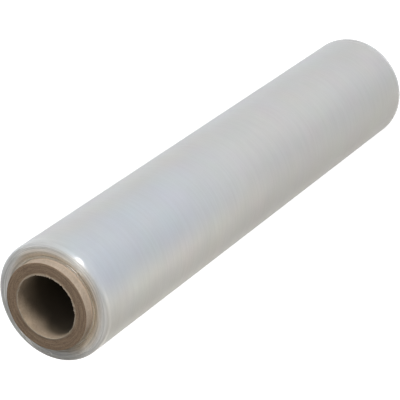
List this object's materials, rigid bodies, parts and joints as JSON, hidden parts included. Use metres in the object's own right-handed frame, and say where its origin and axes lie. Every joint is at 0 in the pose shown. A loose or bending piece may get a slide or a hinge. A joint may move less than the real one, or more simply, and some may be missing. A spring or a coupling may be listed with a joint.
{
  "type": "stretch wrap roll",
  "caption": "Hand roll of clear stretch film wound on a thick paper tube that stands a little proud of the film at both ends.",
  "frame": {"origin": "middle of the tube's lower end, on the roll's axis, at floor level", "axes": "+Z along the roll's axis, up through the bore; the roll is round, so X and Y are free"},
  "size_m": [0.095, 0.095, 0.5186],
  "materials": {
    "core_board": "spiral-wound grey-brown board, matt, lighter paper on the tube's outside and bore",
    "stretch_film": "clear film in many turns, milky grey with a soft gloss"
  },
  "bodies": {
    "root": {"core_tube": "core_board", "film_wrap": "stretch_film"}
  },
  "joints": []
}
